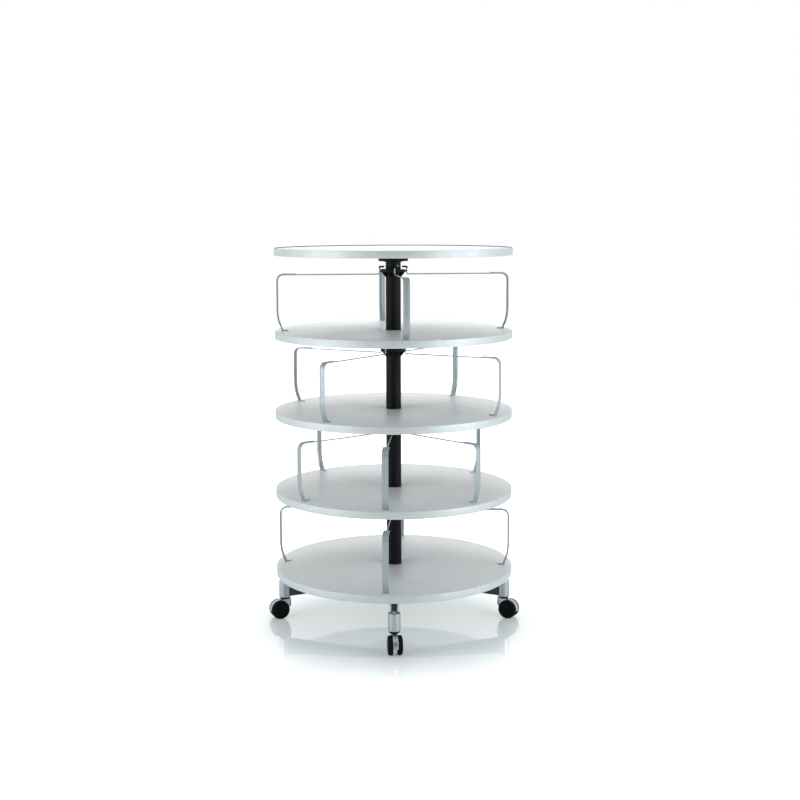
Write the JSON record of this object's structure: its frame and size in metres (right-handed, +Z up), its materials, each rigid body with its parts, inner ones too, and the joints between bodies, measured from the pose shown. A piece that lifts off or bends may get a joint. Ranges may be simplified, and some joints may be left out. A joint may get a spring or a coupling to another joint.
{
  "type": "rotating media tower",
  "caption": "Round rolling tower whose shelves each turn on a central column, with swinging wire dividers, a fixed round top and a four-armed base on twin-wheel casters.",
  "frame": {"origin": "the floor point under the middle of the column, with the wheels standing on the floor", "axes": "+Z up along the column, -Y towards the front, +X to the right as seen from the front"},
  "size_m": [0.8562, 0.8568, 1.267],
  "materials": {
    "white_laminate": "white melamine on board, silver-grey edge band",
    "hub_black": "satin black moulded plastic",
    "collar_black": "satin black moulded plastic",
    "tube_steel": "bright drawn steel tube",
    "base_paint": "dark graphite powder coat, fine texture",
    "post_silver": "satin silver paint",
    "cap_grey": "grey plastic plug with a lighter oval boss",
    "socket_black": "black nylon",
    "caster_silver": "satin silver die casting",
    "wheel_black": "black tread over a black wheel disc",
    "divider_silver": "silver-grey wire and strip"
  },
  "bodies": {
    "frame": {"base_hub": "base_paint", "column_tube": "tube_steel", "top_hub": "hub_black", "top_board": "white_laminate", "bottom_tier_support_collar": "collar_black", "lower_tier_support_collar": "collar_black", "upper_tier_support_collar": "collar_black", "arm_front": "base_paint", "post_front": "post_silver", "post_cap_front": "cap_grey", "caster_socket_front": "socket_black", "arm_right": "base_paint", "post_right": "post_silver", "post_cap_right": "cap_grey", "caster_socket_right": "socket_black", "arm_rear": "base_paint", "post_rear": "post_silver", "post_cap_rear": "cap_grey", "caster_socket_rear": "socket_black", "arm_left": "base_paint", "post_left": "post_silver", "post_cap_left": "cap_grey", "caster_socket_left": "socket_black"},
    "caster_front": {"caster_front_body": "caster_silver"},
    "caster_front_wheel_a": {"caster_front_wheel_a": "wheel_black"},
    "caster_front_wheel_b": {"caster_front_wheel_b": "wheel_black"},
    "caster_right": {"caster_right_body": "caster_silver"},
    "caster_right_wheel_a": {"caster_right_wheel_a": "wheel_black"},
    "caster_right_wheel_b": {"caster_right_wheel_b": "wheel_black"},
    "caster_rear": {"caster_rear_body": "caster_silver"},
    "caster_rear_wheel_a": {"caster_rear_wheel_a": "wheel_black"},
    "caster_rear_wheel_b": {"caster_rear_wheel_b": "wheel_black"},
    "caster_left": {"caster_left_body": "caster_silver"},
    "caster_left_wheel_a": {"caster_left_wheel_a": "wheel_black"},
    "caster_left_wheel_b": {"caster_left_wheel_b": "wheel_black"},
    "top_tier": {"top_tier_board": "white_laminate", "top_tier_hub": "hub_black"},
    "top_tier_divider_1": {"top_tier_divider_1": "divider_silver"},
    "top_tier_divider_2": {"top_tier_divider_2": "divider_silver"},
    "top_tier_divider_3": {"top_tier_divider_3": "divider_silver"},
    "top_tier_divider_4": {"top_tier_divider_4": "divider_silver"},
    "upper_tier": {"upper_tier_board": "white_laminate", "upper_tier_hub": "hub_black"},
    "upper_tier_divider_1": {"upper_tier_divider_1": "divider_silver"},
    "upper_tier_divider_2": {"upper_tier_divider_2": "divider_silver"},
    "upper_tier_divider_3": {"upper_tier_divider_3": "divider_silver"},
    "upper_tier_divider_4": {"upper_tier_divider_4": "divider_silver"},
    "lower_tier": {"lower_tier_board": "white_laminate", "lower_tier_hub": "hub_black"},
    "lower_tier_divider_1": {"lower_tier_divider_1": "divider_silver"},
    "lower_tier_divider_2": {"lower_tier_divider_2": "divider_silver"},
    "lower_tier_divider_3": {"lower_tier_divider_3": "divider_silver"},
    "lower_tier_divider_4": {"lower_tier_divider_4": "divider_silver"},
    "lower_tier_divider_5": {"lower_tier_divider_5": "divider_silver"},
    "bottom_tier": {"bottom_tier_board": "white_laminate", "bottom_tier_hub": "hub_black"},
    "bottom_tier_divider_1": {"bottom_tier_divider_1": "divider_silver"},
    "bottom_tier_divider_2": {"bottom_tier_divider_2": "divider_silver"},
    "bottom_tier_divider_3": {"bottom_tier_divider_3": "divider_silver"},
    "bottom_tier_divider_4": {"bottom_tier_divider_4": "divider_silver"}
  },
  "joints": [
    {"name": "caster_front_swivel", "type": "hinge", "parent": "frame", "child": "caster_front", "pos_m": [0, -0.375, 0.07], "axis": [0, 0, 1], "continuous": true},
    {"name": "caster_front_wheel_a_spin", "type": "hinge", "parent": "caster_front", "child": "caster_front_wheel_a", "pos_m": [0.00209, -0.39489, 0.031], "axis": [0.9945, 0.1045, 0], "continuous": true},
    {"name": "caster_front_wheel_b_spin", "type": "hinge", "parent": "caster_front", "child": "caster_front_wheel_b", "pos_m": [0.00209, -0.39489, 0.031], "axis": [0.9945, 0.1045, 0], "continuous": true},
    {"name": "caster_right_swivel", "type": "hinge", "parent": "frame", "child": "caster_right", "pos_m": [0.375, 0, 0.07], "axis": [0, 0, 1], "continuous": true},
    {"name": "caster_right_wheel_a_spin", "type": "hinge", "parent": "caster_right", "child": "caster_right_wheel_a", "pos_m": [0.39249, -0.0097, 0.031], "axis": [0.4848, 0.8746, 0], "continuous": true},
    {"name": "caster_right_wheel_b_spin", "type": "hinge", "parent": "caster_right", "child": "caster_right_wheel_b", "pos_m": [0.39249, -0.0097, 0.031], "axis": [0.4848, 0.8746, 0], "continuous": true},
    {"name": "caster_rear_swivel", "type": "hinge", "parent": "frame", "child": "caster_rear", "pos_m": [0, 0.375, 0.07], "axis": [0, 0, 1], "continuous": true},
    {"name": "caster_rear_wheel_a_spin", "type": "hinge", "parent": "caster_rear", "child": "caster_rear_wheel_a", "pos_m": [-0.00209, 0.39489, 0.031], "axis": [-0.9945, -0.1045, 0], "continuous": true},
    {"name": "caster_rear_wheel_b_spin", "type": "hinge", "parent": "caster_rear", "child": "caster_rear_wheel_b", "pos_m": [-0.00209, 0.39489, 0.031], "axis": [-0.9945, -0.1045, 0], "continuous": true},
    {"name": "caster_left_swivel", "type": "hinge", "parent": "frame", "child": "caster_left", "pos_m": [-0.375, 0, 0.07], "axis": [0, 0, 1], "continuous": true},
    {"name": "caster_left_wheel_a_spin", "type": "hinge", "parent": "caster_left", "child": "caster_left_wheel_a", "pos_m": [-0.39341, -0.00782, 0.031], "axis": [0.3907, -0.9205, 0], "continuous": true},
    {"name": "caster_left_wheel_b_spin", "type": "hinge", "parent": "caster_left", "child": "caster_left_wheel_b", "pos_m": [-0.39341, -0.00782, 0.031], "axis": [0.3907, -0.9205, 0], "continuous": true},
    {"name": "top_tier_spin", "type": "hinge", "parent": "frame", "child": "top_tier", "pos_m": [0, 0, 0.99], "axis": [0, 0, 1], "continuous": true},
    {"name": "top_tier_divider_1_swing", "type": "hinge", "parent": "top_tier", "child": "top_tier_divider_1", "pos_m": [0, 0, 1.189], "axis": [0, 0, 1], "range_deg": [-39, 39]},
    {"name": "top_tier_divider_2_swing", "type": "hinge", "parent": "top_tier", "child": "top_tier_divider_2", "pos_m": [0, 0, 1.189], "axis": [0, 0, 1], "range_deg": [-39, 39]},
    {"name": "top_tier_divider_3_swing", "type": "hinge", "parent": "top_tier", "child": "top_tier_divider_3", "pos_m": [0, 0, 1.189], "axis": [0, 0, 1], "range_deg": [-39, 39]},
    {"name": "top_tier_divider_4_swing", "type": "hinge", "parent": "top_tier", "child": "top_tier_divider_4", "pos_m": [0, 0, 1.189], "axis": [0, 0, 1], "range_deg": [-39, 39]},
    {"name": "upper_tier_spin", "type": "hinge", "parent": "frame", "child": "upper_tier", "pos_m": [0, 0, 0.723], "axis": [0, 0, 1], "continuous": true},
    {"name": "upper_tier_divider_1_swing", "type": "hinge", "parent": "upper_tier", "child": "upper_tier_divider_1", "pos_m": [0, 0, 0.922], "axis": [0, 0, 1], "range_deg": [-35, 42]},
    {"name": "upper_tier_divider_2_swing", "type": "hinge", "parent": "upper_tier", "child": "upper_tier_divider_2", "pos_m": [0, 0, 0.922], "axis": [0, 0, 1], "range_deg": [-42, 35]},
    {"name": "upper_tier_divider_3_swing", "type": "hinge", "parent": "upper_tier", "child": "upper_tier_divider_3", "pos_m": [0, 0, 0.922], "axis": [0, 0, 1], "range_deg": [-35, 42]},
    {"name": "upper_tier_divider_4_swing", "type": "hinge", "parent": "upper_tier", "child": "upper_tier_divider_4", "pos_m": [0, 0, 0.922], "axis": [0, 0, 1], "range_deg": [-42, 35]},
    {"name": "lower_tier_spin", "type": "hinge", "parent": "frame", "child": "lower_tier", "pos_m": [0, 0, 0.456], "axis": [0, 0, 1], "continuous": true},
    {"name": "lower_tier_divider_1_swing", "type": "hinge", "parent": "lower_tier", "child": "lower_tier_divider_1", "pos_m": [0, 0, 0.655], "axis": [0, 0, 1], "range_deg": [-36, 17]},
    {"name": "lower_tier_divider_2_swing", "type": "hinge", "parent": "lower_tier", "child": "lower_tier_divider_2", "pos_m": [0, 0, 0.655], "axis": [0, 0, 1], "range_deg": [-17, 36]},
    {"name": "lower_tier_divider_3_swing", "type": "hinge", "parent": "lower_tier", "child": "lower_tier_divider_3", "pos_m": [0, 0, 0.655], "axis": [0, 0, 1], "range_deg": [-36, 41]},
    {"name": "lower_tier_divider_4_swing", "type": "hinge", "parent": "lower_tier", "child": "lower_tier_divider_4", "pos_m": [0, 0, 0.655], "axis": [0, 0, 1], "range_deg": [-41, 36]},
    {"name": "lower_tier_divider_5_swing", "type": "hinge", "parent": "lower_tier", "child": "lower_tier_divider_5", "pos_m": [0, 0, 0.655], "axis": [0, 0, 1], "range_deg": [-17, 17]},
    {"name": "bottom_tier_spin", "type": "hinge", "parent": "frame", "child": "bottom_tier", "pos_m": [0, 0, 0.189], "axis": [0, 0, 1], "continuous": true},
    {"name": "bottom_tier_divider_1_swing", "type": "hinge", "parent": "bottom_tier", "child": "bottom_tier_divider_1", "pos_m": [0, 0, 0.388], "axis": [0, 0, 1], "range_deg": [-39, 39]},
    {"name": "bottom_tier_divider_2_swing", "type": "hinge", "parent": "bottom_tier", "child": "bottom_tier_divider_2", "pos_m": [0, 0, 0.388], "axis": [0, 0, 1], "range_deg": [-39, 39]},
    {"name": "bottom_tier_divider_3_swing", "type": "hinge", "parent": "bottom_tier", "child": "bottom_tier_divider_3", "pos_m": [0, 0, 0.388], "axis": [0, 0, 1], "range_deg": [-39, 39]},
    {"name": "bottom_tier_divider_4_swing", "type": "hinge", "parent": "bottom_tier", "child": "bottom_tier_divider_4", "pos_m": [0, 0, 0.388], "axis": [0, 0, 1], "range_deg": [-39, 39]}
  ]
}
